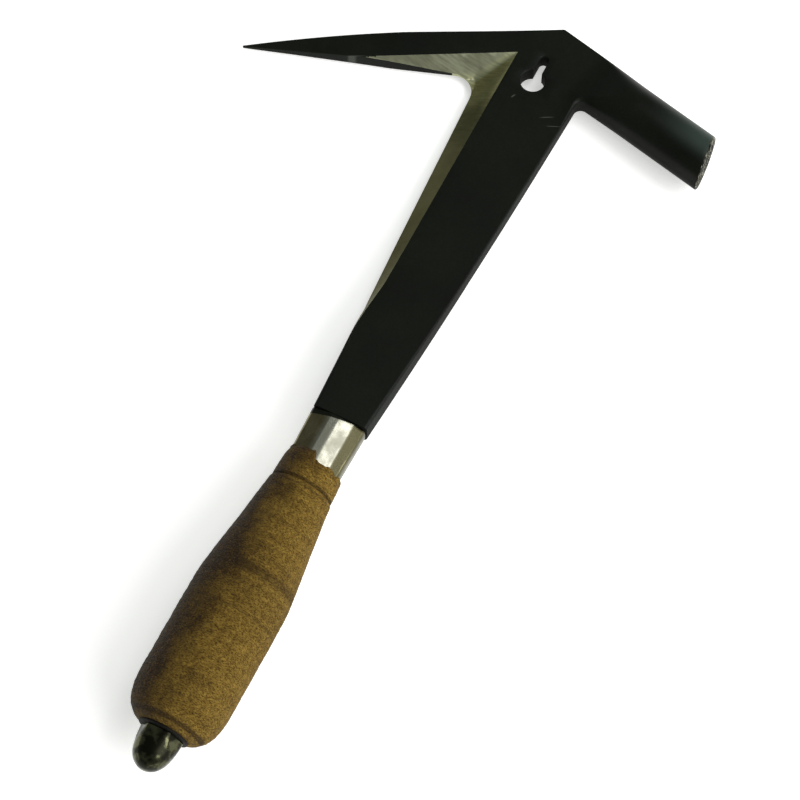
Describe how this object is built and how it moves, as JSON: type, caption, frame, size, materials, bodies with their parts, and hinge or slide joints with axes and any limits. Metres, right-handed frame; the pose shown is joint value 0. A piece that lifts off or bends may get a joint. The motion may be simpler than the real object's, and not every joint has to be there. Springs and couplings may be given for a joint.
{
  "type": "slate hammer",
  "caption": "Roofer's slate hammer: pointed spike, round striking poll, flat shank with one ground cutting edge, keyhole nail slot and a stacked leather grip held by a cap nut.",
  "frame": {"origin": "middle of the round part of the leather grip, on the handle's centre line", "axes": "+Y along the handle to the head, -X to the spike, +X to the striking poll, +Z out of the bevelled face of the head"},
  "size_m": [0.1838, 0.3345, 0.0364],
  "materials": {
    "forged_steel": "satin",
    "ferrule_steel": "polished",
    "leather": "matte",
    "washer_steel": "satin",
    "nut_steel": "polished"
  },
  "bodies": {
    "root": {"head_forging": "forged_steel", "ferrule": "ferrule_steel", "leather_disc_01": "leather", "leather_disc_02": "leather", "leather_disc_03": "leather", "leather_disc_04": "leather", "leather_disc_05": "leather", "leather_disc_06": "leather", "leather_disc_07": "leather", "leather_disc_08": "leather", "leather_disc_09": "leather", "leather_disc_10": "leather", "leather_disc_11": "leather", "leather_disc_12": "leather", "leather_disc_13": "leather", "leather_disc_14": "leather", "leather_disc_15": "leather", "leather_disc_16": "leather", "leather_disc_17": "leather", "leather_disc_18": "leather", "leather_disc_19": "leather", "leather_disc_20": "leather", "leather_disc_21": "leather", "leather_disc_22": "leather", "leather_disc_23": "leather", "leather_disc_24": "leather", "leather_disc_25": "leather", "leather_disc_26": "leather", "leather_disc_27": "leather", "leather_disc_28": "leather", "butt_washer": "washer_steel", "cap_nut": "nut_steel"}
  },
  "joints": []
}
